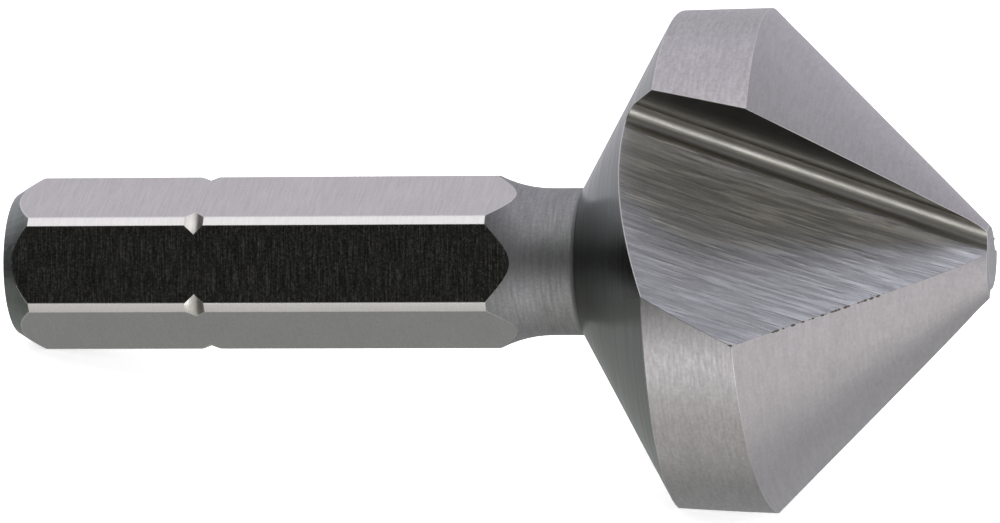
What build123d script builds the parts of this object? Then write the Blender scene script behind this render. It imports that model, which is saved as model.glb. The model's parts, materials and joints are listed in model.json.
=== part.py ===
"""Countersink bit: a three-flute 90 degree head, a neck and a hex drive shank, in one piece.

The bit is drawn along the X axis, from the shank's end face at X = 0 to the point, and is then
laid down the way it comes to rest: on both sides of one flute, at the rear rim of the head, and
on the end of the shank. Azimuths are in degrees about the bit's axis, from +Z towards +Y, and
the middle of one shank flat is at 0.
"""
from build123d import *
import os
from math import cos, radians, sin, sqrt, tan

os.makedirs("parts", exist_ok=True)

# Shank: a hexagon with its corners turned down, and a slightly crowned chamfer at the end
HEX_ACROSS_FLATS = 6.3
HEX_ACROSS_CORNERS = 7.05
HEX_LENGTH = 20.2
END_CHAMFER_LENGTH = 1.1
END_CHAMFER_CROWN_RADIUS = 20.0
END_FACE_DIAMETER = 5.74

# Detent groove: a turned V that only nicks the six corners
DETENT_DISTANCE = 8.1
DETENT_WIDTH = 0.8
DETENT_DEPTH = 0.15

# Neck, which the hexagon's corners run out to in a turned hollow
NECK_DIAMETER = 6.0
NECK_LENGTH = 1.35
NECK_FILLET = 0.25
RUNOUT_RADIUS = 5.0

# Head, before it is fluted: back cone, rim and point
HEAD_DIAMETER = 20.5
RIM_LENGTH = 3.95
RIM_BACK_TAPER = 0.066
BACK_CONE_ANGLE = 120.0
POINT_ANGLE = 90.0
TIP_FLAT_DIAMETER = 3.44

# Lands: behind its cutting edge each falls away by this much along the axis, at its heel
FLUTE_COUNT = 3
LAND_ARC = 65.0
LAND_RELIEF = 0.39
CUTTING_CORNER_AZIMUTH = 36.9

# Flutes: straight V grooves with a steep rake face and a broad back. The root of each runs
# out from the tip to the back cone, and its angles are counted from the cutting corner.
FLUTE_ROOT_RADIUS = 0.6
ROOT_DISTANCE_AT_TIP = 1.15
ROOT_ANGLE_AT_TIP = 29.7
ROOT_DISTANCE_AT_REAR_RIM = 6.82
ROOT_ANGLE_AT_REAR_RIM = 18.7

# The flute that the bit lies on, counted from the one before CUTTING_CORNER_AZIMUTH
LOWER_FLUTE = 2

# Radii and places along the axis that follow from the sizes above
flat_radius = HEX_ACROSS_FLATS / 2
corner_radius = HEX_ACROSS_CORNERS / 2
end_radius = END_FACE_DIAMETER / 2
neck_radius = NECK_DIAMETER / 2
head_radius = HEAD_DIAMETER / 2
rear_rim_radius = head_radius - RIM_BACK_TAPER
runout_length = sqrt(RUNOUT_RADIUS**2 - (RUNOUT_RADIUS - corner_radius + neck_radius) ** 2)
neck_start = HEX_LENGTH + runout_length
neck_end = neck_start + NECK_LENGTH
rear_rim = neck_end + (rear_rim_radius - neck_radius) / tan(radians(BACK_CONE_ANGLE / 2))
front_rim = rear_rim + RIM_LENGTH
point_slope = tan(radians(POINT_ANGLE / 2))
tip = front_rim + (head_radius - TIP_FLAT_DIAMETER / 2) / point_slope
apex = front_rim + head_radius / point_slope
flute_pitch = 360 / FLUTE_COUNT
flute_arc = flute_pitch - LAND_ARC


def place(along, distance, azimuth):
    """The point at a distance from the axis, in the direction of an azimuth."""
    turn = radians(azimuth)
    return Vector(along, distance * sin(turn), distance * cos(turn))


def turned(outline):
    """The solid that a closed outline in the XY plane makes when it is turned on the X axis."""
    return revolve(make_face(outline), Axis.X)


def at_each_flute(shape):
    """Copies of a shape, one for each flute."""
    return [Rot(X=-index * flute_pitch) * shape for index in range(FLUTE_COUNT)]


def shank():
    """The drive shank: a turned bar with a hollow runout, cut to a hexagon, and its detent."""
    bar = turned(
        Polyline((neck_start, neck_radius), (neck_start, 0), (0, 0), (0, end_radius))
        + RadiusArc((0, end_radius), (END_CHAMFER_LENGTH, corner_radius), END_CHAMFER_CROWN_RADIUS)
        + Line((END_CHAMFER_LENGTH, corner_radius), (HEX_LENGTH, corner_radius))
        + TangentArc((neck_start, neck_radius), (HEX_LENGTH, corner_radius), tangent=(-1, 0))
    )
    hexagon = RegularPolygon(flat_radius, 6, major_radius=False)
    flats = extrude(Plane.YZ * hexagon, neck_start)
    groove_reach = 2 * DETENT_DEPTH
    groove_side = DETENT_WIDTH / 2 * groove_reach / DETENT_DEPTH
    groove_bottom = corner_radius - DETENT_DEPTH
    groove = turned(
        Polyline(
            (DETENT_DISTANCE, groove_bottom),
            (DETENT_DISTANCE + groove_side, groove_bottom + groove_reach),
            (DETENT_DISTANCE - groove_side, groove_bottom + groove_reach),
            close=True,
        )
    )
    return (bar & flats) - groove


def head_blank():
    """The neck and head as they are turned, with a round rim and no point yet."""
    rim_slope = RIM_BACK_TAPER / RIM_LENGTH
    outline = make_face(
        Polyline(
            (neck_start, 0),
            (neck_start, neck_radius),
            (neck_end, neck_radius),
            (rear_rim, rear_rim_radius),
            (tip, rear_rim_radius + (tip - rear_rim) * rim_slope),
            (tip, 0),
            close=True,
        )
    )
    neck_corner = outline.vertices().sort_by_distance((neck_end, neck_radius))[0]
    return revolve(fillet(neck_corner, NECK_FILLET), Axis.X)


def point_waste():
    """What is ground off in front of one land, from the flute ahead of it to the flute behind.

    The ground surface is a cone whose axis lies a little to one side of the bit's, so that it
    meets the nominal cone at the cutting corner and falls away from it towards the heel.
    """
    land_middle = CUTTING_CORNER_AZIMUTH + LAND_ARC / 2
    radial_relief = LAND_RELIEF * point_slope
    offset = radial_relief / (2 * sin(radians(LAND_ARC / 2)))
    cone_apex = apex - LAND_RELIEF / 2
    cone_depth = cone_apex - rear_rim
    cone = turned(
        Polyline(
            (rear_rim, 0),
            (rear_rim, cone_depth * point_slope),
            (cone_apex, 0),
            close=True,
        )
    )
    reach = 2 * HEAD_DIAMETER
    start = CUTTING_CORNER_AZIMUTH - flute_arc / 4
    edges = [start + share * flute_pitch for share in (0, 1 / 2, 1)]
    slice_outline = Polyline(
        place(rear_rim, 0, 0), *[place(rear_rim, reach, edge) for edge in edges], close=True
    )
    slice_length = cone_apex + HEAD_DIAMETER - rear_rim
    land_slice = extrude(make_face(slice_outline), slice_length, dir=(1, 0, 0))
    return land_slice - Pos(place(0, offset, land_middle - 90)) * cone


def flute_waste():
    """What one flute removes: a V with a rounded root, longer and wider than the head."""
    root_at_tip = place(tip, ROOT_DISTANCE_AT_TIP, CUTTING_CORNER_AZIMUTH + ROOT_ANGLE_AT_TIP)
    root_at_rear = place(
        rear_rim, ROOT_DISTANCE_AT_REAR_RIM, CUTTING_CORNER_AZIMUTH + ROOT_ANGLE_AT_REAR_RIM
    )
    cutting_corner = place(front_rim, head_radius, CUTTING_CORNER_AZIMUTH)
    heel_azimuth = CUTTING_CORNER_AZIMUTH + LAND_ARC - flute_pitch
    heel_corner = place(front_rim - LAND_RELIEF, head_radius, heel_azimuth)
    across = Plane(origin=root_at_rear, z_dir=root_at_tip - root_at_rear)
    walls = []
    for corner in (cutting_corner, heel_corner):
        seen = across.to_local_coords(corner)
        walls.append(Vector(seen.X, seen.Y).normalized() * 2 * HEAD_DIAMETER)
    outline = make_face(Polyline((0, 0), walls[0], walls[1], close=True))
    root = outline.vertices().sort_by_distance((0, 0))[0]
    profile = fillet(root, FLUTE_ROOT_RADIUS)
    return extrude(across * profile, 2 * HEAD_DIAMETER, both=True)


def countersink_bit():
    """The finished bit on the X axis."""
    head = head_blank() - at_each_flute(point_waste()) - at_each_flute(flute_waste())
    return shank() + head


def resting_place(bit):
    """Where the bit lies, with the origin on the ground under the middle of its box.

    The ground meets the two corners of the rear rim beside the lower flute. It turns about the
    line through them until it meets the shank, so of the planes through them and a corner of
    the shank it is the one that slopes least.
    """
    flute_middle = CUTTING_CORNER_AZIMUTH - flute_arc / 2 + LOWER_FLUTE * flute_pitch
    below = place(0, 1, flute_middle)
    across = place(0, 1, flute_middle + 90)
    corners = [Vector(corner) for corner in bit.vertices()]
    rim_corners = [
        corner
        for corner in corners
        if abs(corner.X - rear_rim) < RIM_BACK_TAPER
        and corner.dot(below) > rear_rim_radius * cos(radians(flute_pitch / 2))
    ]
    heel, cutting = sorted(rim_corners, key=across.dot)
    upwards = [
        (corner - heel).cross(cutting - heel).normalized()
        for corner in corners
        if corner.X < HEX_LENGTH
    ]
    least_sloping = min(upwards, key=lambda upward: upward.X)
    ground = Plane(origin=heel, x_dir=(1, 0, 0), z_dir=least_sloping)
    to_ground = ground.location.inverse()
    box = (to_ground * bit).bounding_box()
    return Pos(-box.center().X, -box.center().Y, -box.min.Z) * to_ground


bit = countersink_bit()
resting = resting_place(bit)
export_step(resting * bit, "parts/countersink_bit.step")

print(f"overall length {tip:.2f} mm, volume {bit.volume:.1f} mm3")
flat_middle = (DETENT_DISTANCE + HEX_LENGTH) / 2
for name, spot in (
    ("end face", (0, 0, 0)),
    ("flat", (flat_middle, 0, flat_radius)),
    ("middle of the hexagon", (HEX_LENGTH / 2, 0, 0)),
    ("tip", (tip, 0, 0)),
):
    at = (resting * Pos(*spot)).position
    print(f"{name} at {at.X:.4f}, {at.Y:.4f}, {at.Z:.4f} mm")
for name, direction in (("axis", (1, 0, 0)), ("flat's normal", (0, 0, 1))):
    way = (resting * Pos(*direction)).position - resting.position
    print(f"{name} towards {way.X:.6f}, {way.Y:.6f}, {way.Z:.6f}")
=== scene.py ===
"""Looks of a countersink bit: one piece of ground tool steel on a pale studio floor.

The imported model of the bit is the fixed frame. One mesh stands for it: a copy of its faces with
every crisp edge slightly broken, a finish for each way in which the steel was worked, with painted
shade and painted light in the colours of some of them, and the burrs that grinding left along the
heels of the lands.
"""
import json
import logging
from collections.abc import Callable, Iterator
from contextlib import contextmanager
from dataclasses import dataclass
from enum import Enum
from math import acos, cos, radians, sin, sqrt, tan
from typing import Union

import bmesh
import bpy
import numpy as np
from mathutils import Matrix, Vector


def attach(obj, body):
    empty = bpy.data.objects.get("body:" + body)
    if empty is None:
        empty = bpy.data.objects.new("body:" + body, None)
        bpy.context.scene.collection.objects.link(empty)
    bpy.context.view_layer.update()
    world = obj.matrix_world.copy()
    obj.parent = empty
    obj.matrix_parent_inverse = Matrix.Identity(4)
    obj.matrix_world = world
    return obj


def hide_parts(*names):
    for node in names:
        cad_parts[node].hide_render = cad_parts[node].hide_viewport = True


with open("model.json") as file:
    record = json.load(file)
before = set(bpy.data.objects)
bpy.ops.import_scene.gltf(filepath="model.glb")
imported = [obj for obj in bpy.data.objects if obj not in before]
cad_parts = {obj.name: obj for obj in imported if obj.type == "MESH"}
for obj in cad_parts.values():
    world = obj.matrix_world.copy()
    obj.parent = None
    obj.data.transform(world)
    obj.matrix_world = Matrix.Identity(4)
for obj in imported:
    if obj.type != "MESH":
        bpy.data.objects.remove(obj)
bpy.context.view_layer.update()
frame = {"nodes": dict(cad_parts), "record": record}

log = logging.getLogger("countersink_bit")

Array = np.ndarray
Pair = tuple[float, float]
Triple = tuple[float, float, float]
Mesh = bpy.types.Mesh
Material = bpy.types.Material
Object = bpy.types.Object
Socket = bpy.types.NodeSocket
Number = Union["Value", float]

MM = 0.001
BODY = "root"
NODE = "countersink_bit"
MARKS = "marks"

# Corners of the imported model's faces that are closer than this, in metres, are one
SAME_PLACE = 1e-7

# Noise: the middle of its values, how far most of them stray from it, its finer layers and
# how strong those are in tool marks
NOISE_MIDDLE = 0.5
NOISE_REACH = 0.35
NOISE_DETAIL = 2.0
MARK_RAGGEDNESS = 0.55

# The values of a noise between which burrs go from none to as many as there can be
CROWDING = (0.42, 0.62)

# The sensor of the camera in millimetres, and the width of its picture in pixels
SENSOR_WIDTH = 36.0
PICTURE_WIDTH = 1000


class Surface(Enum):
    """The worked surfaces of the bit, in the order of its material slots."""

    END_FACE = 0
    END_CHAMFER = 1
    SHANK_FLAT = 2
    SHANK_CORNER = 3
    DETENT = 4
    RUNOUT = 5
    NECK = 6
    BACK_CONE = 7
    RIM = 8
    POINT_LAND = 9
    RAKE = 10
    FLUTE_ROOT = 11
    FLUTE_BACK = 12
    TIP = 13
    BROKEN_EDGE = 14
    BURR = 15


class Lay(Enum):
    """Which way the marks of a tool lie on a surface."""

    STRAIGHT = "straight or round the axis"
    CIRCULAR = "on arcs about a centre"


# --- the bit's axes ---------------------------------------------------------------------------


def place(along: float, distance: float, azimuth: float) -> Array:
    """The point at a distance from the axis, in the direction of an azimuth in degrees."""
    turn = radians(azimuth)
    return np.array([along, distance * sin(turn), distance * cos(turn)])


def turned_back(points: Array, angle: float) -> Array:
    """Points on the bit's axes with an angle in degrees taken off their azimuth."""
    turn = radians(angle)
    return points @ np.array([[1, 0, 0], [0, cos(turn), sin(turn)], [0, -sin(turn), cos(turn)]])


def azimuths(points: Array) -> Array:
    """The azimuths of points or directions in degrees."""
    return np.degrees(np.arctan2(points[:, 1], points[:, 2]))


def unit(vectors: Array) -> Array:
    """Vectors made one long."""
    return vectors / np.maximum(np.linalg.norm(vectors, axis=-1, keepdims=True), 1e-12)


@dataclass(frozen=True)
class BitAxes:
    """The bit's own axes as they lie in the scene.

    Lengths on them are in millimetres from the shank's end face. The first axis runs to the
    point, the third out of one shank flat, and the second square to both.
    """

    origin: Array
    turn: Array

    @classmethod
    def from_record(cls, record: dict) -> "BitAxes":
        """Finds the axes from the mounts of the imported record.

        Args:
            record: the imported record, with the mounts of the shank's end face and one flat.

        Returns:
            The axes, with their directions as the rows of a rotation.
        """
        mounts = {mount["name"]: mount for mount in record["mounts"]}
        along = unit(-np.array(mounts["shank_end_face"]["axis"]))
        flat = np.array(mounts["shank_flat"]["axis"])
        flat = unit(flat - along * (flat @ along))
        origin = np.array(mounts["shank_end_face"]["pos_m"])
        return cls(origin, np.array([along, np.cross(flat, along), flat]))

    def to_bit(self, points: Array) -> Array:
        """Points of the scene, in metres, as millimetres on the bit's axes."""
        return (points - self.origin) @ self.turn.T / MM

    def to_scene(self, points: Array) -> Array:
        """Points in millimetres on the bit's axes, as metres in the scene."""
        return points @ self.turn * MM + self.origin

    def way(self, direction: Array) -> Array:
        """A direction on the bit's axes, as a direction in the scene."""
        return np.asarray(direction, float) @ self.turn


# --- node trees -------------------------------------------------------------------------------


def operators(operation: str) -> tuple[Callable, Callable]:
    """The methods of an arithmetic operator and of its reflected form.

    Args:
        operation: what the Math node does that each adds.

    Returns:
        The method for a value and another, and the one for a number and a value.
    """

    def plain(value: "Value", other: Number) -> "Value":
        """This value and another."""
        return value.math(operation, value, other)

    def reflected(value: "Value", other: float) -> "Value":
        """A number and this value."""
        return value.math(operation, other, value)

    return plain, reflected


class Value:
    """A socket's value in shader arithmetic: an expression on values adds its Math nodes."""

    def __init__(self, graph: "Graph", socket: Socket) -> None:
        """Keeps the socket and the graph that it belongs to."""
        self.graph = graph
        self.socket = socket

    def math(self, operation: str, *terms: Number) -> "Value":
        """One Math node on some terms."""
        return self.graph.value("ShaderNodeMath", {"operation": operation}, dict(enumerate(terms)))

    __add__, __radd__ = operators("ADD")
    __sub__, __rsub__ = operators("SUBTRACT")
    __mul__, __rmul__ = operators("MULTIPLY")
    __truediv__, __rtruediv__ = operators("DIVIDE")

    def step(self, start: float, end: float) -> "Value":
        """A smooth step: 0 up to start and 1 from end, or the other way if end is lower."""
        settings = {"interpolation_type": "SMOOTHERSTEP", "clamp": True}
        low, high = (0.0, 1.0) if start < end else (1.0, 0.0)
        inputs = {"Value": self, "To Min": low, "To Max": high}
        inputs |= {"From Min": min(start, end), "From Max": max(start, end)}
        return self.graph.value("ShaderNodeMapRange", settings, inputs)


class Graph:
    """A node tree that is being filled, with one method that makes any node."""

    def __init__(self, tree: bpy.types.NodeTree) -> None:
        """Takes a tree and empties it."""
        self.tree = tree
        tree.nodes.clear()

    def add(
        self, kind: str, settings: dict | None = None, inputs: dict | None = None
    ) -> bpy.types.Node:
        """Adds a node.

        Args:
            kind: the node's type.
            settings: its properties, which are set first.
            inputs: a value or a link for each numbered, identified or named input socket.

        Returns:
            The node.
        """
        node = self.tree.nodes.new(kind)
        for name, setting in (settings or {}).items():
            setattr(node, name, setting)
        for key, given in (inputs or {}).items():
            socket = self._input(node, key)
            if isinstance(given, Value):
                given = given.socket
            if isinstance(given, Socket):
                self.tree.links.new(given, socket)
            else:
                socket.default_value = given
        return node

    def out(
        self,
        kind: str,
        settings: dict | None = None,
        inputs: dict | None = None,
        output: str | int = 0,
    ) -> Socket:
        """Adds a node and gives one of its outputs."""
        return self.add(kind, settings, inputs).outputs[output]

    def value(self, *node: object) -> Value:
        """Adds a node as out does, and gives its output as a value."""
        return Value(self, self.out(*node))

    @staticmethod
    def _input(node: bpy.types.Node, key: str | int) -> Socket:
        """An input socket by its number, identifier or name."""
        if isinstance(key, int):
            return node.inputs[key]
        for socket in node.inputs:
            if socket.identifier == key:
                return socket
        return node.inputs[key]

    def mix_colours(
        self, share: Number, first: Socket | tuple, second: Socket | tuple
    ) -> Socket:
        """Mixes two colours.

        Args:
            share: how much of the second colour there is, from 0 to 1.
            first: a colour or its socket.
            second: a colour or its socket.

        Returns:
            The mixed colour's socket.
        """
        inputs = {"Factor_Float": share, "A_Color": first, "B_Color": second}
        return self.out("ShaderNodeMix", {"data_type": "RGBA"}, inputs, 2)

    def vector(self, operation: str, *terms: object, output: int = 0) -> Socket:
        """One Vector Math node on some terms."""
        inputs = dict(enumerate(terms))
        return self.out("ShaderNodeVectorMath", {"operation": operation}, inputs, output)

    def scaled(self, vector: object, scale: Number) -> Socket:
        """A vector or colour times a value."""
        inputs = {0: vector, "Scale": scale}
        return self.out("ShaderNodeVectorMath", {"operation": "SCALE"}, inputs)

    def noise(self, scale: Number, inputs: dict, dimensions: str = "3D") -> bpy.types.Node:
        """A noise texture: its scale, its other inputs and its number of dimensions."""
        settings = {"noise_dimensions": dimensions}
        return self.add("ShaderNodeTexNoise", settings, {"Scale": scale, **inputs})

    def marks(self) -> Socket:
        """The place among the marks that each corner of the mesh keeps."""
        return self.out("ShaderNodeAttribute", {"attribute_name": MARKS}, None, "Vector")


# --- finishes ---------------------------------------------------------------------------------


@dataclass(frozen=True)
class ToolMarks:
    """One set of marks that a tool left, running along the surface's own lines.

    Attributes:
        spacing: how far apart the marks are, in millimetres.
        length: how long one mark is, in millimetres.
        depth: how deep the marks are, in millimetres.
        shading: how much darker than the steel the bottom of a mark is.
        roughness: how much rougher than the steel the bottom of a mark is.
        share: the share of the surface that is clear of these marks.
        softness: how wide the flank between clear steel and a mark's bottom is.
        seed: where in the pattern the surface starts.
    """

    spacing: float
    length: float
    depth: float
    shading: float = 0.0
    roughness: float = 0.0
    share: float = 0.5
    softness: float = 0.3
    seed: float = 0.0

    def pattern(self, graph: Graph, marks: Socket) -> Value:
        """The height of the surface, from 0 at a mark's bottom to 1 on clear steel.

        Args:
            graph: the material's nodes.
            marks: the place along (x and y) and across (z) the marks, in millimetres.

        Returns:
            The height.
        """
        scale = (1 / self.length, 1 / self.length, 1 / (2 * self.spacing))
        stretched = graph.vector("MULTIPLY_ADD", marks, scale, (self.seed, 0.0, self.seed))
        inputs = {"Vector": stretched, "Detail": NOISE_DETAIL, "Roughness": MARK_RAGGEDNESS}
        height = Value(graph, graph.noise(1.0, inputs).outputs["Fac"])
        middle = NOISE_MIDDLE + (0.5 - self.share) * NOISE_REACH
        return height.step(middle - self.softness / 2, middle + self.softness / 2)


@dataclass(frozen=True)
class SteelFinish:
    """Steel as one tool left it.

    Attributes:
        name: the material's name.
        steel: the reflected share of red, green and blue light, darkened as painted shade on the
            rake face and the back cone and lightened as painted light on the flute's back.
        roughness: the roughness between the marks.
        marks: the sets of marks, the coarsest first.
        lay: which way the marks lie.
        centre: the centre of circular marks, on the surface's own coordinates.
        radius: the radius of circular marks at the surface, in millimetres.
        cloud: how much the shade drifts over some millimetres.
        cloud_size: how far apart the lighter and darker places of that drift are.
        grain: how much the shade varies from grain to grain.
        grain_size: how far apart the grains are, in millimetres.
        speckle: how much the roughness varies from grain to grain.
        painted_root_shade: how much darker the steel is painted beside a flute's root, as painted
            shade for the dark rake face mirrored there.
        painted_root_shade_width: how far from the root that painted shade has faded out, in
            millimetres.
    """

    name: str
    steel: Triple
    roughness: float
    marks: tuple[ToolMarks, ...]
    lay: Lay = Lay.STRAIGHT
    centre: Pair = (0.0, 0.0)
    radius: float = 1.0
    cloud: float = 0.06
    cloud_size: float = 2.0
    grain: float = 0.10
    grain_size: float = 0.14
    speckle: float = 0.0
    painted_root_shade: float = 0.0
    painted_root_shade_width: float = 1.0

    def material(self) -> Material:
        """Makes the finish's material.

        Returns:
            A metal whose colour, roughness and bump follow the marks.
        """
        material = bpy.data.materials.new(self.name)
        material.use_nodes = True
        material.diffuse_color = (*self.steel, 1.0)
        material.metallic = 1.0
        graph = Graph(material.node_tree)
        lines = self._lines(graph)
        shade: Number = 1.0
        roughness: Number = self.roughness
        bump: dict[str, Socket] = {}
        for marks in self.marks:
            height = marks.pattern(graph, lines)
            if marks.shading:
                shade = shade * (height * marks.shading + (1 - marks.shading))
            if marks.roughness:
                roughness = (1 - height) * marks.roughness + roughness
            inputs = {"Strength": 1.0, "Distance": marks.depth * MM, "Height": height, **bump}
            bump = {"Normal": graph.out("ShaderNodeBump", None, inputs)}
        grains = self._drift(graph, self.grain_size)
        shade = shade * (self._drift(graph, self.cloud_size) * (2 * self.cloud) + 1.0)
        shade = shade * (grains * (2 * self.grain) + 1.0)
        if self.speckle:
            roughness = grains * (2 * self.speckle) + roughness
        # Painted shade: the steel is darkened beside a flute's root, standing in for the dark rake
        # face that is mirrored there.
        if self.painted_root_shade:
            rise = graph.value("ShaderNodeSeparateXYZ", None, {0: graph.marks()}, 1)
            shade = shade * (rise.step(0.0, self.painted_root_shade_width) * self.painted_root_shade + (1 - self.painted_root_shade))
        colour = graph.scaled(self.steel, shade)
        inputs = {"Base Color": colour, "Metallic": 1.0, "Roughness": roughness, **bump}
        shader = graph.out("ShaderNodeBsdfPrincipled", None, inputs)
        graph.add("ShaderNodeOutputMaterial", None, {"Surface": shader})
        return material

    def _lines(self, graph: Graph) -> Socket:
        """The place along (x and y) and across (z) the marks, in millimetres."""
        spot = graph.marks()
        if self.lay is Lay.STRAIGHT:
            return spot
        arm = graph.vector("SUBTRACT", spot, (*self.centre, 0.0))
        arm = graph.vector("MULTIPLY", arm, (1.0, 1.0, 0.0))
        across = Value(graph, graph.vector("LENGTH", arm, output=1)) - self.radius
        around = graph.scaled(graph.vector("NORMALIZE", arm), self.radius)
        return graph.vector("ADD", around, graph.scaled((0.0, 0.0, 1.0), across))

    @staticmethod
    def _drift(graph: Graph, size: float) -> Value:
        """A value between -0.5 and 0.5 that drifts over a size in millimetres."""
        spot = graph.out("ShaderNodeTexCoord", output="Object")
        noise = graph.noise(1 / (size * MM), {"Vector": spot, "Detail": NOISE_DETAIL})
        return Value(graph, noise.outputs["Fac"]) - NOISE_MIDDLE


def fine_marks(depth: float, shading: float = 0.06, seed: float = 0.0) -> ToolMarks:
    """Close marks about a millimetre long, which spread the light across them."""
    return ToolMarks(0.05, 1.2, depth, shading, 0.03, seed=seed)


GROUND_WHEEL = {"lay": Lay.CIRCULAR, "centre": (1.5, -100.0), "radius": 100.0}

FINISHES: dict[Surface, SteelFinish] = {
    Surface.END_FACE: SteelFinish(
        "faced_shank_end", (0.48, 0.48, 0.48), 0.34,
        (ToolMarks(0.10, 6.0, 0.004, 0.15, 0.05), fine_marks(0.001)),
        Lay.CIRCULAR, radius=1.5,
    ),
    Surface.END_CHAMFER: SteelFinish(
        "turned_end_chamfer", (0.29, 0.31, 0.298), 0.28, (fine_marks(0.0006),), grain=0.06
    ),
    Surface.SHANK_FLAT: SteelFinish(
        "drawn_shank_flat", (0.50, 0.49, 0.485), 0.155,
        (
            ToolMarks(0.035, 1.2, 0.0010, 0.05, 0.13, share=0.6, softness=0.6, seed=1.0),
            fine_marks(0.0008, 0.04, seed=4.0),
        ),
        grain=0.10, grain_size=0.11, speckle=0.12,
    ),
    Surface.SHANK_CORNER: SteelFinish(
        "turned_shank_corner", (0.56, 0.55, 0.55), 0.20,
        (fine_marks(0.0005, 0.03),), cloud=0.03, grain=0.04,
    ),
    Surface.DETENT: SteelFinish(
        "turned_detent_nick", (0.58, 0.57, 0.54), 0.26, (fine_marks(0.0010),)
    ),
    Surface.RUNOUT: SteelFinish(
        "turned_shank_runout", (0.37, 0.37, 0.38), 0.54,
        (ToolMarks(0.06, 1.6, 0.0006, 0.05, 0.03), fine_marks(0.0006)),
        grain=0.20, grain_size=0.12,
    ),
    Surface.NECK: SteelFinish(
        "turned_neck", (0.355, 0.36, 0.36), 0.54,
        (ToolMarks(0.06, 1.6, 0.0008, 0.07, 0.03), fine_marks(0.0006)),
        grain=0.20, grain_size=0.12,
    ),
    # Painted shade: this steel is far darker than the other turned steel, standing in for the
    # shade that the back cone lies in.
    Surface.BACK_CONE: SteelFinish(
        "turned_back_cone_painted_shade", (0.185, 0.20, 0.19), 0.18,
        (ToolMarks(0.12, 5.0, 0.0012, 0.10, 0.04), fine_marks(0.0008)),
        grain=0.06,
    ),
    Surface.RIM: SteelFinish(
        "ground_rim", (0.49, 0.475, 0.485), 0.34,
        (ToolMarks(0.06, 0.4, 0.0008, 0.08, 0.04), fine_marks(0.0006, seed=3.0)),
        grain=0.16,
    ),
    Surface.POINT_LAND: SteelFinish(
        "ground_point_land", (0.49, 0.475, 0.49), 0.34,
        (ToolMarks(0.06, 0.5, 0.0005, 0.04, 0.02), fine_marks(0.0005, 0.03, seed=3.0)),
        grain=0.12,
    ),
    # Painted shade: this steel is far darker than the other ground steel, standing in for the dark
    # that the rake face mirrors and the shade inside the flute.
    Surface.RAKE: SteelFinish(
        "ground_rake_face_painted_shade", (0.115, 0.109, 0.086), 0.15,
        (ToolMarks(0.10, 3.0, 0.0008, 0.08, 0.03), fine_marks(0.0004)),
        **GROUND_WHEEL,
    ),
    Surface.FLUTE_ROOT: SteelFinish(
        "ground_flute_root", (0.48, 0.465, 0.42), 0.33,
        (ToolMarks(0.10, 7.0, 0.002, 0.15, 0.05), fine_marks(0.0008)),
    ),
    # Painted light: this steel is far lighter and bluer than the other ground steel, standing in
    # for the light that the flute's back catches; the darkening beside the root below is painted
    # shade.
    Surface.FLUTE_BACK: SteelFinish(
        "ground_flute_back_painted_light_and_shade", (0.84, 0.845, 0.90), 0.27,
        (
            ToolMarks(0.20, 4.0, 0.007, 0.14, 0.04, softness=0.5, seed=2.0),
            ToolMarks(0.07, 2.4, 0.006, 0.24, 0.06, seed=5.0),
            ToolMarks(0.06, 3.0, 0.003, -0.45, 0.0, share=0.9, softness=0.12, seed=7.0),
            fine_marks(0.0010, seed=9.0),
        ),
        painted_root_shade=0.55, painted_root_shade_width=1.5,
        **GROUND_WHEEL,
    ),
    Surface.TIP: SteelFinish(
        "faced_tip", (0.52, 0.52, 0.53), 0.32,
        (ToolMarks(0.10, 6.0, 0.002, 0.12, 0.05), fine_marks(0.0008)),
        Lay.CIRCULAR, radius=1.0,
    ),
    Surface.BROKEN_EDGE: SteelFinish(
        "bright_broken_edge", (0.60, 0.59, 0.58), 0.24, (), cloud=0.1, cloud_size=0.6
    ),
    Surface.BURR: SteelFinish(
        "torn_heel_burr", (0.20, 0.17, 0.13), 0.45,
        (fine_marks(0.0010),), cloud=0.3, cloud_size=0.3, grain=0.3, grain_size=0.05,
    ),
}

# The heels of the lands, and the edges and surfaces whose broken edges take the narrower soft
# share
HEELS = (
    {Surface.FLUTE_BACK, Surface.POINT_LAND},
    {Surface.FLUTE_BACK, Surface.RIM},
)
SOFT_EDGES = (*HEELS, {Surface.RIM, Surface.POINT_LAND})
SOFT_SURFACES = {Surface.DETENT, Surface.RUNOUT}

# The radius in millimetres at which marks that run round the axis have their true length
MARK_RADII = {Surface.BACK_CONE: 6.0, Surface.POINT_LAND: 6.0, Surface.RIM: 10.0}
SHANK_MARK_RADIUS = 4.0

# The angle from flat to flat in degrees, and how far apart in the pattern the marks of two
# flats and of two flutes are, in millimetres
FLAT_PITCH = 60
FLAT_SHIFT = 40
FLUTE_SHIFT = 50


# --- meshes -----------------------------------------------------------------------------------


def linked(name: str, data: bpy.types.ID) -> Object:
    """A new object in the scene."""
    made = bpy.data.objects.new(name, data)
    bpy.context.scene.collection.objects.link(made)
    return made


def read(
    items: bpy.types.bpy_prop_collection, name: str, width: int = 1, kind: type = float
) -> Array:
    """Reads one property of many items.

    Args:
        items: the vertices, corners or faces of a mesh.
        name: the property's name.
        width: how many numbers the property has.
        kind: the kind of those numbers.

    Returns:
        The numbers, with one row for each item if there are more than one to an item.
    """
    numbers = np.empty(width * len(items), kind)
    items.foreach_get(name, numbers)
    return numbers.reshape(-1, width) if width > 1 else numbers


@contextmanager
def reshaped(target: Mesh, source: Mesh | None = None) -> Iterator[bmesh.types.BMesh]:
    """Opens a mesh's shape for changes.

    Args:
        target: the mesh that is given the changed shape.
        source: the mesh that the shape comes from, or none for an empty one.

    Yields:
        The shape.
    """
    shape = bmesh.new()
    if source is not None:
        shape.from_mesh(source)
    yield shape
    shape.to_mesh(target)
    shape.free()


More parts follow.
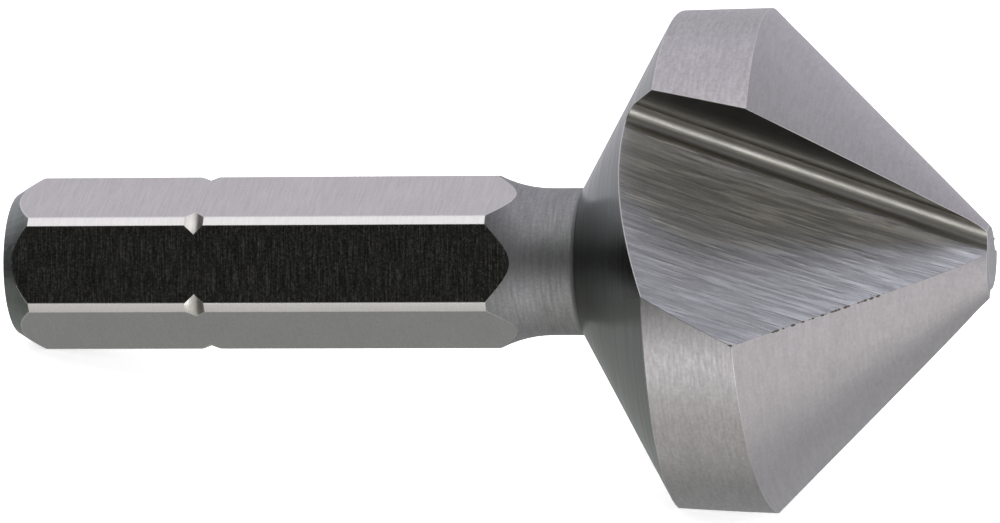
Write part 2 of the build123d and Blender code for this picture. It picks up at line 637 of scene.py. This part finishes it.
def bake(piece: Object) -> None:
    """Turns an object's evaluated shape into its plain mesh."""
    graph = bpy.context.evaluated_depsgraph_get()
    mesh = bpy.data.meshes.new_from_object(piece.evaluated_get(graph))
    piece.modifiers.clear()
    old = piece.data
    piece.data = mesh
    bpy.data.meshes.remove(old)
    mesh.name = piece.name


# --- the burrs --------------------------------------------------------------------------------


@dataclass(frozen=True)
class HeelBurrs:
    """The burrs that grinding the flutes tore up along the heels of the lands.

    Attributes:
        spacing: how far apart the places are where a burr can be, in millimetres.
        size: the length, width and height of a middling burr, in millimetres.
        spread: how much longer than a middling burr the longest is.
        smallest: how long the shortest burr is, as a share of the longest.
        share: the share of the places that have a burr, where there are most of them.
        cluster: how far apart the stretches with most burrs are, in millimetres.
        clearance: how far above the ground the lowest burr is, in millimetres.
        ragged: how far a burr's surface wanders from an egg's, in millimetres.
        wave: how far apart the bumps of that surface are, in millimetres.
        seed: the seed of all the random choices.
    """

    spacing: float = 0.16
    size: Triple = (0.060, 0.026, 0.026)
    spread: float = 0.9
    smallest: float = 0.35
    share: float = 0.62
    cluster: float = 2.2
    clearance: float = 0.15
    ragged: float = 0.012
    wave: float = 0.04
    seed: int = 31

    def grow(self, lines: Mesh, material: Material) -> Mesh:
        """Grows burrs along some lines.

        Args:
            lines: the heels, as loose edges.
            material: the burrs' material.

        Returns:
            A mesh of small closed shells.
        """
        holder = linked("heel_burrs", lines)
        inputs = self._inputs(material)
        modifier = holder.modifiers.new("burrs", "NODES")
        modifier.node_group = tree = self._tree({name: kind for name, (kind, _) in inputs.items()})
        for socket in tree.interface.items_tree:
            if socket.name in inputs:
                modifier[socket.identifier] = inputs[socket.name][1]
        bake(holder)
        burrs = holder.data
        bpy.data.objects.remove(holder)
        return burrs

    def _inputs(self, material: Material) -> dict[str, tuple[str, object]]:
        """The inputs of the geometry nodes, as the kind and the value of each."""
        return {
            "Spacing": ("Float", self.spacing * MM),
            "Burr Size": ("Vector", tuple(side * MM for side in self.size)),
            "Spread": ("Float", self.spread),
            "Smallest": ("Float", self.smallest),
            "Share": ("Float", self.share),
            "Cluster": ("Float", self.cluster * MM),
            "Clearance": ("Float", self.clearance * MM),
            "Ragged": ("Float", self.ragged * MM),
            "Wave": ("Float", self.wave * MM),
            "Seed": ("Int", self.seed),
            "Material": ("Material", material),
        }

    @staticmethod
    def _tree(kinds: dict[str, str]) -> bpy.types.NodeTree:
        """The geometry nodes: lumps on the points of a resampled line, with ragged surfaces.

        Args:
            kinds: the kind of each named input.

        Returns:
            The tree.
        """
        tree = bpy.data.node_groups.new("heel_burrs", "GeometryNodeTree")
        graph = Graph(tree)
        for name, kind in {"Geometry": "Geometry", **kinds}.items():
            tree.interface.new_socket(name, in_out="INPUT", socket_type=f"NodeSocket{kind}")
        tree.interface.new_socket("Geometry", in_out="OUTPUT", socket_type="NodeSocketGeometry")
        given = graph.add("NodeGroupInput").outputs
        curve = graph.out("GeometryNodeMeshToCurve", None, {"Mesh": given["Geometry"]})
        inputs = {"Curve": curve, "Length": given["Spacing"]}
        places = graph.out("GeometryNodeResampleCurve", {"mode": "LENGTH"}, inputs)
        inputs = {"Vector": graph.out("GeometryNodeInputTangent")}
        turn = graph.out("FunctionNodeAlignRotationToVector", {"axis": "X"}, inputs)
        inputs = {"Min_001": given["Smallest"], "Max_001": 1.0, "Seed": given["Seed"]}
        growth = graph.value("FunctionNodeRandomValue", {"data_type": "FLOAT"}, inputs, 1)
        longest = Value(graph, given["Spread"]) + 1.0
        inputs = {
            "Points": places,
            "Selection": HeelBurrs._choice(graph, given),
            "Instance": graph.out("GeometryNodeMeshIcoSphere", None, {"Subdivisions": 2}),
            "Rotation": turn,
            "Scale": graph.scaled(given["Burr Size"], growth * longest),
        }
        lumps = graph.out("GeometryNodeInstanceOnPoints", None, inputs)
        shells = graph.out("GeometryNodeRealizeInstances", None, {"Geometry": lumps})
        noise = graph.noise(1.0 / Value(graph, given["Wave"]), {"Detail": 1.0}).outputs["Color"]
        wander = graph.scaled(graph.vector("SUBTRACT", noise, (NOISE_MIDDLE,) * 3), 2.0)
        offset = graph.scaled(wander, Value(graph, given["Ragged"]))
        inputs = {"Geometry": shells, "Offset": offset}
        ragged = graph.out("GeometryNodeSetPosition", None, inputs)
        inputs = {"Geometry": ragged, "Material": given["Material"]}
        dressed = graph.out("GeometryNodeSetMaterial", None, inputs)
        graph.add("NodeGroupOutput", None, {"Geometry": dressed})
        return tree

    @staticmethod
    def _choice(graph: Graph, given: bpy.types.NodeOutputs) -> Value:
        """Whether a place has a burr: by chance, most often in clusters, and off the ground."""
        scale = 1.0 / Value(graph, given["Cluster"])
        noise = graph.noise(scale, {"W": given["Seed"], "Detail": 1.0}, "4D")
        crowd = Value(graph, noise.outputs["Fac"]).step(*CROWDING)
        inputs = {"Probability": crowd * given["Share"], "Seed": given["Seed"]}
        chance = graph.out("FunctionNodeRandomValue", {"data_type": "BOOLEAN"}, inputs, 3)
        spot = graph.out("GeometryNodeInputPosition")
        height = graph.out("ShaderNodeSeparateXYZ", None, {0: spot}, 2)
        settings = {"data_type": "FLOAT", "operation": "GREATER_THAN"}
        inputs = {"A": height, "B": given["Clearance"]}
        clear = graph.out("FunctionNodeCompare", settings, inputs)
        return graph.value("FunctionNodeBooleanMath", None, {0: chance, 1: clear})


# --- the bit ----------------------------------------------------------------------------------


@dataclass
class CountersinkBit:
    """The whole bit: a hex shank, a neck and a head with three flutes.

    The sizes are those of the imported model, in millimetres and degrees on the bit's own axes.
    """

    axes: BitAxes
    flat_radius: float = 3.15
    corner_radius: float = 3.525
    chamfer_length: float = 1.1
    detent_distance: float = 8.1
    detent_width: float = 0.8
    hex_length: float = 20.2
    runout_radius: float = 5.0
    neck_radius: float = 3.0
    neck_length: float = 1.35
    neck_fillet: float = 0.25
    head_radius: float = 10.25
    rim_length: float = 3.95
    rim_back_taper: float = 0.066
    back_cone_slope: float = 60.0
    tip_radius: float = 1.72
    flute_count: int = 3
    land_arc: float = 65.0
    land_relief: float = 0.39
    cutting_azimuth: float = 36.9
    root_radius: float = 0.6
    root_at_tip: Pair = (1.15, 29.7)
    root_at_rear: Pair = (6.82, 18.7)
    hollow_radius: float = 140.0
    hollow_middle: float = 2.0
    edge_break: float = 0.035
    edge_angle: float = 16.0
    soft_share: float = 0.35
    edge_segments: int = 2
    merge_angle: float = 0.05
    nick_lean: Pair = (-8.0, -40.0)
    # What tells the surfaces apart: parts of a face's normal, distances and shares of sizes
    slack: float = 0.01
    land_facing: float = 0.5
    rim_facing: float = 0.1
    rim_share: float = 0.9
    cone_facing: float = 0.85
    chamfer_facing: float = 0.3
    nick_facing: float = 0.2
    wall_facing: float = 0.9999
    fillet_reach: float = 0.3
    corner_reach: float = 3.4
    root_reach: float = 1.7
    burrs: HeelBurrs = HeelBurrs()
    name: str = "ground_countersink_bit"

    def __post_init__(self) -> None:
        """Works out the places along the axis and the flute's own directions."""
        self.pitch: float = 360 / self.flute_count
        rise = self.runout_radius - self.corner_radius + self.neck_radius
        self.neck_start: float = self.hex_length + sqrt(self.runout_radius**2 - rise**2)
        self.neck_end: float = self.neck_start + self.neck_length
        rear_radius = self.head_radius - self.rim_back_taper
        slope = tan(radians(self.back_cone_slope))
        self.rear_rim: float = self.neck_end + (rear_radius - self.neck_radius) / slope
        self.front_rim: float = self.rear_rim + self.rim_length
        self.tip: float = self.front_rim + self.head_radius - self.tip_radius
        self._lay_out_flute()

    def _lay_out_flute(self) -> None:
        """Finds the first flute's root line, and the planes of its rake face and its back."""
        (tip_out, tip_turn), (rear_out, rear_turn) = self.root_at_tip, self.root_at_rear
        at_tip = place(self.tip, tip_out, self.cutting_azimuth + tip_turn)
        self.root: Array = place(self.rear_rim, rear_out, self.cutting_azimuth + rear_turn)
        self.root_way: Array = unit(at_tip - self.root)
        heel_azimuth = self.cutting_azimuth + self.land_arc - self.pitch
        cutting = place(self.front_rim, self.head_radius, self.cutting_azimuth)
        heel = place(self.front_rim - self.land_relief, self.head_radius, heel_azimuth)
        self.up_rake, self.up_back = [
            unit(corner - self.root - self.root_way * ((corner - self.root) @ self.root_way))
            for corner in (cutting, heel)
        ]
        facing = self.up_rake @ self.up_back
        self.rake_normal: Array = unit(self.up_back - self.up_rake * facing)
        self.back_normal: Array = unit(self.up_rake - self.up_back * facing)
        middle = unit(self.up_rake + self.up_back)
        half_opening = acos(float(middle @ self.up_back))
        self.root_axis: Array = self.root + middle * (self.root_radius / sin(half_opening))

    def build(self) -> Object:
        """Builds the bit's mesh and dresses it.

        Returns:
            The finished object, at the origin.
        """
        mesh = self._merged_copy()
        self._sort_surfaces(mesh)
        bit = linked(self.name, mesh)
        for surface in Surface:
            mesh.materials.append(FINISHES[surface].material())
        burrs = self.burrs.grow(self._heels(mesh), mesh.materials[Surface.BURR.value])
        self._break_edges(bit)
        self._add_burrs(bit.data, burrs)
        self._mark_and_shade(bit.data)
        return bit

    @staticmethod
    def _merged_copy() -> Mesh:
        """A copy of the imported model's faces, joined to each other at their edges."""
        mesh = bpy.data.meshes.new("countersink_bit_copy")
        with reshaped(mesh, frame["nodes"][NODE].data) as shape:
            bmesh.ops.remove_doubles(shape, verts=shape.verts, dist=SAME_PLACE)
        for name in [layer.name for layer in mesh.uv_layers]:
            mesh.uv_layers.remove(mesh.uv_layers[name])
        if "custom_normal" in mesh.attributes:
            mesh.attributes.remove(mesh.attributes["custom_normal"])
        return mesh

    def _faces(self, mesh: Mesh) -> tuple[Array, Array]:
        """The middles and the normals of a mesh's faces, on the bit's axes."""
        middles, normals = (read(mesh.polygons, name, 3) for name in ("center", "normal"))
        return self.axes.to_bit(middles), normals @ self.axes.turn.T

    def _sort_surfaces(self, mesh: Mesh) -> None:
        """Gives each face the slot of the surface that it is part of."""
        middles, normals = self._faces(mesh)
        x, y, z = middles.T
        nx = normals[:, 0]
        out = np.hypot(y, z)
        slack = self.slack
        straight = abs(nx) < slack
        on_flat = abs(np.einsum("ij,ij->i", normals, middles) - self.flat_radius) < slack
        on_cone = nx < -self.cone_facing
        in_nick = abs(x - self.detent_distance) < self.detent_width / 2
        tests = {
            Surface.POINT_LAND: nx > self.land_facing,
            Surface.RIM: (abs(nx) < self.rim_facing) & (out > self.rim_share * self.head_radius),
            Surface.BACK_CONE: on_cone & (x > self.neck_end - self.fillet_reach),
            Surface.NECK: (x > self.neck_start)
            & (x < self.neck_end + self.fillet_reach)
            & (nx > -self.cone_facing),
            Surface.RUNOUT: (x > self.hex_length) & (x < self.neck_start),
            Surface.SHANK_CORNER: straight & (x < self.hex_length) & (out > self.corner_reach),
            Surface.SHANK_FLAT: straight & on_flat & (x < self.neck_start),
            Surface.DETENT: in_nick & (abs(nx) > self.nick_facing),
            Surface.END_CHAMFER: (x < self.chamfer_length) & (nx < -self.chamfer_facing),
            Surface.END_FACE: (x < 5 * slack) & (nx < slack - 1),
            Surface.TIP: nx > 1 - slack,
        }
        slots = np.full(len(x), -1)
        for surface, found in tests.items():
            slots[found] = surface.value
        for index in range(self.flute_count):
            spot = turned_back(middles, index * self.pitch) - self.root
            facing = turned_back(normals, index * self.pitch)
            off_line = spot - np.outer(spot @ self.root_way, self.root_way)
            near_root = np.linalg.norm(off_line, axis=1) < self.root_reach * self.root_radius
            in_root = near_root & (abs(facing @ self.root_way) < 2 * slack) & (x > self.neck_end)
            slots[in_root] = Surface.FLUTE_ROOT.value
            for surface, normal in (
                (Surface.RAKE, self.rake_normal),
                (Surface.FLUTE_BACK, self.back_normal),
            ):
                on_plane = (abs(spot @ normal) < slack) & (facing @ normal > self.wall_facing)
                slots[on_plane] = surface.value
        log.info("  unsorted: %d faces", int((slots < 0).sum()))
        slots[slots < 0] = Surface.BACK_CONE.value
        mesh.polygons.foreach_set("material_index", slots.astype(np.int32))
        mesh.polygons.foreach_set("use_smooth", np.ones(len(x), bool))

    @staticmethod
    def _heels(mesh: Mesh) -> Mesh:
        """The lines along the heels of the lands, as the loose edges of a new mesh."""
        heels = bpy.data.meshes.new("heels")
        with reshaped(heels, mesh) as shape:
            others = [
                edge
                for edge in shape.edges
                if {Surface(face.material_index) for face in edge.link_faces} not in HEELS
            ]
            bmesh.ops.delete(shape, geom=shape.faces, context="FACES_ONLY")
            bmesh.ops.delete(shape, geom=others, context="EDGES")
        return heels

    @staticmethod
    def _add_burrs(mesh: Mesh, burrs: Mesh) -> None:
        """Joins the burrs to the bit's mesh."""
        with reshaped(mesh, mesh) as shape:
            first = len(shape.faces)
            shape.from_mesh(burrs)
            shape.faces.ensure_lookup_table()
            for face in shape.faces[first:]:
                face.material_index = Surface.BURR.value
        log.info("  heel burrs: %d faces", len(burrs.polygons))

    def _break_edges(self, bit: Object) -> None:
        """Breaks every crisp edge with a narrow round, in the bright edge's finish."""
        merge = {"angle_limit": radians(self.merge_angle), "delimit": {"MATERIAL"}}
        with reshaped(bit.data, bit.data) as shape:
            bmesh.ops.dissolve_limit(shape, verts=shape.verts, edges=shape.edges, **merge)
            weight = shape.edges.layers.float.new("bevel_weight_edge")
            for edge in shape.edges:
                crisp = edge.calc_face_angle() > radians(self.edge_angle)
                pair = {Surface(face.material_index) for face in edge.link_faces}
                soft = pair in SOFT_EDGES or pair & SOFT_SURFACES
                if crisp and len(pair) == 2:
                    edge[weight] = self.soft_share if soft else 1.0
        modifier = bit.modifiers.new("broken_edges", "BEVEL")
        modifier.limit_method = "WEIGHT"
        modifier.width = self.edge_break * MM
        modifier.segments = self.edge_segments
        modifier.use_clamp_overlap = False
        modifier.material = Surface.BROKEN_EDGE.value
        modifier.miter_outer = "MITER_ARC"
        bake(bit)

    def _mark_and_shade(self, mesh: Mesh) -> None:
        """Gives each corner its place among the surface's marks, and its true normal."""
        vertex = read(mesh.loops, "vertex_index", kind=np.int32)
        corners = self.axes.to_bit(read(mesh.vertices, "co", 3))[vertex]
        counts, slots = (
            read(mesh.polygons, name, kind=np.int32) for name in ("loop_total", "material_index")
        )
        middles, facing = self._faces(mesh)
        face = np.repeat(np.arange(len(counts)), counts)
        slot, middle, flat = slots[face], middles[face], facing[face]
        marks = np.zeros_like(corners)
        normals = flat.copy()
        for surface in Surface:
            mine = slot == surface.value
            if mine.any() and surface is not Surface.BROKEN_EDGE:
                marks[mine], normals[mine] = self._lines_and_normals(
                    surface, corners[mine], middle[mine], flat[mine]
                )
        normals = self._blend_edges(vertex, slot, flat, normals)
        layer = mesh.attributes.new(MARKS, "FLOAT_VECTOR", "CORNER")
        layer.data.foreach_set("vector", marks.astype(np.float32).ravel())
        mesh.polygons.foreach_set("use_smooth", np.ones(len(counts), bool))
        mesh.normals_split_custom_set((unit(normals) @ self.axes.turn).tolist())

    @staticmethod
    def _blend_edges(vertex: Array, slot: Array, flat: Array, normals: Array) -> Array:
        """Lets the rounds along broken edges turn smoothly from one surface to the next."""
        edge = slot == Surface.BROKEN_EDGE.value
        count = vertex.max() + 1
        main = np.zeros((count, 3))
        rounds = np.zeros((count, 3))
        np.add.at(main, vertex[~edge], normals[~edge])
        np.add.at(rounds, vertex[edge], flat[edge])
        has_main = np.linalg.norm(main, axis=1) > 0.5
        blended = np.where(has_main[:, None], main, rounds)
        result = normals.copy()
        result[edge] = unit(blended[vertex[edge]])
        return result

    def _lines_and_normals(
        self, surface: Surface, corners: Array, middle: Array, flat: Array
    ) -> tuple[Array, Array]:
        """The places among the marks and the true normals of some corners of one surface.

        Args:
            surface: the surface that the corners are on.
            corners: the corners, on the bit's axes.
            middle: the middle of each corner's face.
            flat: the normal of each corner's face.

        Returns:
            The places along and across the marks in millimetres, and the normals.
        """
        x, y, z = corners.T
        out = np.hypot(y, z)
        radial = np.stack([np.zeros_like(x), y / out, z / out], 1) if out.min() > 0 else flat
        if surface in (Surface.END_FACE, Surface.TIP):
            return np.stack([y, z, x], 1), flat
        if surface is Surface.SHANK_FLAT:
            side = np.stack([-flat[:, 2], flat[:, 1]], 1)
            across = np.einsum("ij,ij->i", corners[:, 1:], side)
            number = np.round(azimuths(flat) / FLAT_PITCH)
            return np.stack([across, FLAT_SHIFT * number, x], 1), flat
        if surface in (Surface.RAKE, Surface.FLUTE_ROOT, Surface.FLUTE_BACK):
            return self._flute_lines(surface, corners, middle, flat)
        turned = radial[:, 1:] * MARK_RADII.get(surface, SHANK_MARK_RADIUS)
        across = out if surface is Surface.BACK_CONE else x
        round_marks = np.concatenate([turned, across[:, None]], 1)
        if surface is Surface.BACK_CONE:
            slope = radians(self.back_cone_slope)
            return round_marks, radial * cos(slope) + np.array([-sin(slope), 0, 0])
        if surface is Surface.RIM:
            tilt = self.rim_back_taper / self.rim_length
            return round_marks, unit(radial - np.array([tilt, 0, 0]))
        if surface is Surface.POINT_LAND:
            return self._land_lines(corners, middle)
        if surface is Surface.RUNOUT:
            centre_out = self.neck_radius + self.runout_radius
            hollow = radial * (centre_out - out)[:, None]
            hollow[:, 0] = self.neck_start - x
            return round_marks, unit(hollow)
        if surface is Surface.SHANK_CORNER:
            return round_marks, radial
        if surface is Surface.NECK:
            return round_marks, self._neck_normals(x, out, radial)
        if surface is Surface.DETENT:
            reach = (x - self.detent_distance) / self.detent_width
            lean = np.radians(self.nick_lean[0] + self.nick_lean[1] * reach)
            normals = radial * np.cos(lean)[:, None]
            normals[:, 0] = np.sin(lean)
            return round_marks, normals
        return round_marks, flat

    def _neck_normals(self, x: Array, out: Array, radial: Array) -> Array:
        """The normals of the neck and of the fillet where it meets the back cone."""
        half_turn = radians(self.back_cone_slope) / 2
        start = self.neck_end - self.neck_fillet * tan(half_turn)
        fillet = radial * (self.neck_radius + self.neck_fillet - out)[:, None]
        fillet[:, 0] = start - x
        return np.where((x > start)[:, None], unit(fillet), radial)

    def _land_lines(self, corners: Array, middle: Array) -> tuple[Array, Array]:
        """The marks and normals of the relieved cones of the point."""
        half_land = self.land_arc / 2
        land_middle = self.cutting_azimuth + half_land
        number = np.round((azimuths(middle) - land_middle) / self.pitch)
        off_axis = self.land_relief / (2 * sin(radians(half_land)))
        azimuth = np.radians(land_middle + number * self.pitch - 90)
        centre = off_axis * np.stack([np.sin(azimuth), np.cos(azimuth)], 1)
        arm = unit(corners[:, 1:] - centre)
        normals = np.concatenate([np.ones((len(arm), 1)), arm], 1)
        out = np.linalg.norm(corners[:, 1:] - centre, axis=1)
        turned = arm * MARK_RADII[Surface.POINT_LAND]
        return np.concatenate([turned, out[:, None]], 1), unit(normals)

    def _flute_lines(
        self, surface: Surface, corners: Array, middle: Array, flat: Array
    ) -> tuple[Array, Array]:
        """The marks and normals of the walls and roots of the flutes."""
        number = np.round((azimuths(middle) - self.cutting_azimuth) / self.pitch)
        marks = np.zeros_like(corners)
        normals = flat.copy()
        up = self.up_rake if surface is Surface.RAKE else self.up_back
        for index in np.unique(number):
            mine = number == index
            spot = turned_back(corners[mine], index * self.pitch) - self.root
            along, rise = spot @ self.root_way, spot @ up
            shift = np.full_like(along, FLUTE_SHIFT * index)
            if surface is Surface.FLUTE_ROOT:
                spot = turned_back(corners[mine], index * self.pitch) - self.root_axis
                inward = -spot + np.outer(spot @ self.root_way, self.root_way)
                normals[mine] = turned_back(unit(inward), -index * self.pitch)
                marks[mine] = np.stack([along, shift, rise], 1)
            else:
                marks[mine] = np.stack([along, rise, shift], 1)
            if surface is Surface.FLUTE_BACK:
                lean = (along - self.hollow_middle) / self.hollow_radius
                root_way = turned_back(self.root_way, -index * self.pitch)
                normals[mine] = unit(flat[mine] - lean[:, None] * root_way)
        return marks, normals


# --- the studio -------------------------------------------------------------------------------


@dataclass(frozen=True)
class TentPanel:
    """A part of the light tent that is lighter or darker than the rest.

    Attributes:
        direction: where it hangs, on the studio's axes: along the bit, to the front, and up.
        inner: the half angle in degrees within which it is at full strength.
        outer: the half angle at which it has faded out.
        light: its light in red, green and blue.
    """

    direction: Triple
    inner: float
    outer: float
    light: Triple


@dataclass(frozen=True)
class DarkScreen:
    """A strip of dark cloth that hangs in the tent in front of the bit, along its axis.

    Each edge is a pair of places on the studio's axes, where there is no cloth and where there
    is all of it.
    """

    top: Pair = (0.72, 0.40)
    bottom: Pair = (-0.42, -0.12)
    right: Pair = (0.60, 0.22)
    back: Pair = (-0.15, 0.25)
    light: Triple = (0.013, 0.013, 0.011)

    def share(self, along: Value, front: Value, up: Value) -> Value:
        """How much of the cloth there is in a direction, from its parts on the studio's axes."""
        level = up.step(*self.bottom) * up.step(*self.top)
        return level * along.step(*self.right) * front.step(*self.back)


@dataclass
class Studio:
    """A pale floor under a light tent, and the camera.

    The studio's axes lie along the bit, to the front, and up. The front is front_turn degrees
    round from one flat of the shank. Places on the axes are in millimetres, and the sizes of
    the floor and the lamps are in metres.

    Each ring of the floor's rim lies so far beyond its flat part, and so high. The horizon is
    the stretch of the upward axis in which the ground's light gives way to the tent's. The
    camera is turned by yaw about the upward axis at the pivot, a place along the bit, and by
    roll about its own axis, both in radians. From its distance it looks at the target, a place
    along and up, and has so many pixels to a millimetre there.
    """

    axes: BitAxes
    floor_radius: float = 1.1
    floor_rise: tuple[Pair, ...] = (
        (0.2, 0.02), (0.5, 0.10), (1.0, 0.35), (1.6, 0.90), (2.0, 1.60)
    )
    floor_sides: int = 96
    floor_white: float = 0.93
    floor_glow: float = 0.55
    front_turn: float = 1.07
    yaw: float = 0.2053898
    roll: float = 0.0038773
    pivot: float = 20.0
    distance: float = 337.349
    target: Pair = (19.764716, 0.014110)
    pixels_per_mm: float = 24.521736
    horizon: Pair = (-0.14, 0.12)
    tent_light: Triple = (0.70, 0.69, 0.74)
    ground_light: Triple = (0.385, 0.395, 0.385)
    panels: tuple[TentPanel, ...] = (
        TentPanel((-0.204, -0.10, 0.97), 5, 40, (0.97, 0.94, 1.02)),
        TentPanel((0.335, -0.795, -0.506), 5, 36, (0.56, 0.56, 0.57)),
        TentPanel((-0.1, 0.25, -0.95), 15, 45, (0.72, 0.71, 0.69)),
        TentPanel((0.52, 0.08, 0.85), 16, 32, (0.42, 0.42, 0.44)),
        TentPanel((0.50, 0.58, 0.64), 16, 28, (0.012, 0.012, 0.009)),
        TentPanel((0.401, 0.421, -0.812), 4, 18, (1.2, 1.2, 1.15)),
        TentPanel((-0.709, 0.191, 0.679), 6, 24, (0.06, 0.06, 0.05)),
        TentPanel((-0.709, 0.191, -0.679), 6, 24, (0.06, 0.055, 0.04)),
        TentPanel((0.15, 0.0, 0.99), 4, 18, (0.95, 0.94, 0.99)),
        TentPanel((-0.204, 0.629, 0.750), 5, 32, (1.52, 1.51, 1.53)),
        TentPanel((-0.204, 0.629, -0.750), 5, 32, (0.86, 0.85, 0.81)),
        TentPanel((0.0, 0.68, -0.73), 4, 12, (3.6, 3.6, 3.8)),
        TentPanel((0.919, 0.076, -0.384), 10, 45, (1.0, 0.98, 0.98)),
    )
    screen: DarkScreen = DarkScreen()
    lamp_spots: tuple[Triple, ...] = (
        (0.0, 0.0, 1.0), (0.0, -0.9, 0.35), (0.0, 0.9, 0.35), (-0.9, 0.0, 0.35), (0.9, 0.0, 0.35)
    )
    lamp_size: float = 0.9
    lamp_power: float = 2.2

    def build(self) -> None:
        """Makes the floor, its lamps, the tent and the camera."""
        self._floor()
        for number, spot in enumerate(self.lamp_spots):
            self._lamp(f"floor_light_{number}", Vector(spot))
        self._tent()
        self._camera()
        bpy.context.scene.view_settings.view_transform = "Standard"

    def front_axes(self) -> Array:
        """The studio's axes, as rows on the bit's axes."""
        turn = radians(self.front_turn)
        return np.array([[1, 0, 0], [0, sin(turn), cos(turn)], [0, cos(turn), -sin(turn)]])

    def _floor(self) -> None:
        """A round matt light table, far wider than the bit, whose rim curves up to the horizon."""
        mesh = bpy.data.meshes.new("studio_floor")
        disc = {"segments": self.floor_sides, "radius": self.floor_radius}
        with reshaped(mesh) as shape:
            bmesh.ops.create_circle(shape, cap_ends=True, **disc)
            for outwards, upwards in self.floor_rise:
                rim = [edge for edge in shape.edges if edge.is_boundary]
                for vert in bmesh.ops.extrude_edge_only(shape, edges=rim)["geom"]:
                    if isinstance(vert, bmesh.types.BMVert):
                        way = vert.co.xy.normalized() * (self.floor_radius + outwards)
                        vert.co = (*way, upwards)
        mesh.materials.append(self._floor_material())
        floor = linked("studio_floor", mesh)
        floor.visible_glossy = False

    def _floor_material(self) -> Material:
        """Matt white glass with a little light behind it."""
        material = bpy.data.materials.new("studio_floor")
        material.use_nodes = True
        graph = Graph(material.node_tree)
        inputs = {
            "Base Color": (*(self.floor_white,) * 3, 1.0),
            "Roughness": 0.9,
            "Emission Color": (1.0, 1.0, 1.0, 1.0),
            "Emission Strength": self.floor_glow,
        }
        shader = graph.out("ShaderNodeBsdfPrincipled", None, inputs)
        graph.add("ShaderNodeOutputMaterial", None, {"Surface": shader})
        return material

    def _lamp(self, name: str, spot: Vector) -> None:
        """A soft lamp that faces the bit and lights the floor, unseen in the steel."""
        light = bpy.data.lights.new(name, "AREA")
        light.shape = "DISK"
        light.size = self.lamp_size
        light.energy = self.lamp_power
        lamp = linked(name, light)
        lamp.location = spot
        lamp.rotation_euler = spot.to_track_quat("Z", "Y").to_euler()
        lamp.visible_glossy = False

    def _tent(self) -> None:
        """The light tent, as the world's light."""
        world = bpy.data.worlds.new("light_tent")
        bpy.context.scene.world = world
        world.use_nodes = True
        graph = Graph(world.node_tree)
        ray = graph.out("ShaderNodeTexCoord", output="Generated")

        def part(axis: Array) -> Value:
            """The part of the ray along an axis that is given on the bit's axes."""
            way = tuple(float(number) for number in self.axes.way(axis))
            return Value(graph, graph.vector("DOT_PRODUCT", ray, way, output=1))

        axes = self.front_axes()
        along, front, up = (part(axis) for axis in axes)
        light = graph.mix_colours(
            up.step(*self.horizon), (*self.ground_light, 1), (*self.tent_light, 1)
        )
        for panel in self.panels:
            facing = part(unit(np.array(panel.direction)) @ axes)
            edge, full = (cos(radians(turn)) for turn in (panel.outer, panel.inner))
            light = graph.mix_colours(facing.step(edge, full), light, (*panel.light, 1))
        cloth = self.screen.share(along, front, up)
        light = graph.mix_colours(cloth, light, (*self.screen.light, 1))
        sky = graph.out("ShaderNodeBackground", None, {"Color": light})
        graph.add("ShaderNodeOutputWorld", None, {"Surface": sky})

    def _camera(self) -> None:
        """The camera, on a long lens in front of the bit."""
        along, front, up = self.front_axes()
        right = along * cos(self.yaw) - front * sin(self.yaw)
        back = along * sin(self.yaw) + front * cos(self.yaw)
        spot = right * self.target[0] + up * self.target[1]
        spot = spot + back * (self.pivot * sin(self.yaw) + self.distance)
        image_right = right * cos(self.roll) - up * sin(self.roll)
        image_up = right * sin(self.roll) + up * cos(self.roll)
        data = bpy.data.cameras.new("camera")
        data.sensor_width = SENSOR_WIDTH
        data.lens = self.pixels_per_mm * self.distance * SENSOR_WIDTH / PICTURE_WIDTH
        data.clip_start = 10 * MM
        camera = linked("camera", data)
        turn = Matrix([Vector(self.axes.way(axis)) for axis in (image_right, image_up, back)])
        place_in_scene = Matrix.Translation(self.axes.to_scene(spot))
        camera.matrix_world = place_in_scene @ turn.transposed().to_4x4()
        bpy.context.scene.camera = camera


def write_sizes() -> None:
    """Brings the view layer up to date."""
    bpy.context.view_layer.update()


def main() -> None:
    """Builds the studio and the bit, and reports each piece."""
    logging.basicConfig(level=logging.INFO, format="%(message)s")
    axes = BitAxes.from_record(frame["record"])
    Studio(axes).build()
    bit = CountersinkBit(axes).build()
    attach(bit, BODY)
    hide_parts(NODE)
    log.info("%s: %d faces", bit.name, len(bit.data.polygons))
    write_sizes()


if __name__ == "__main__":
    main()
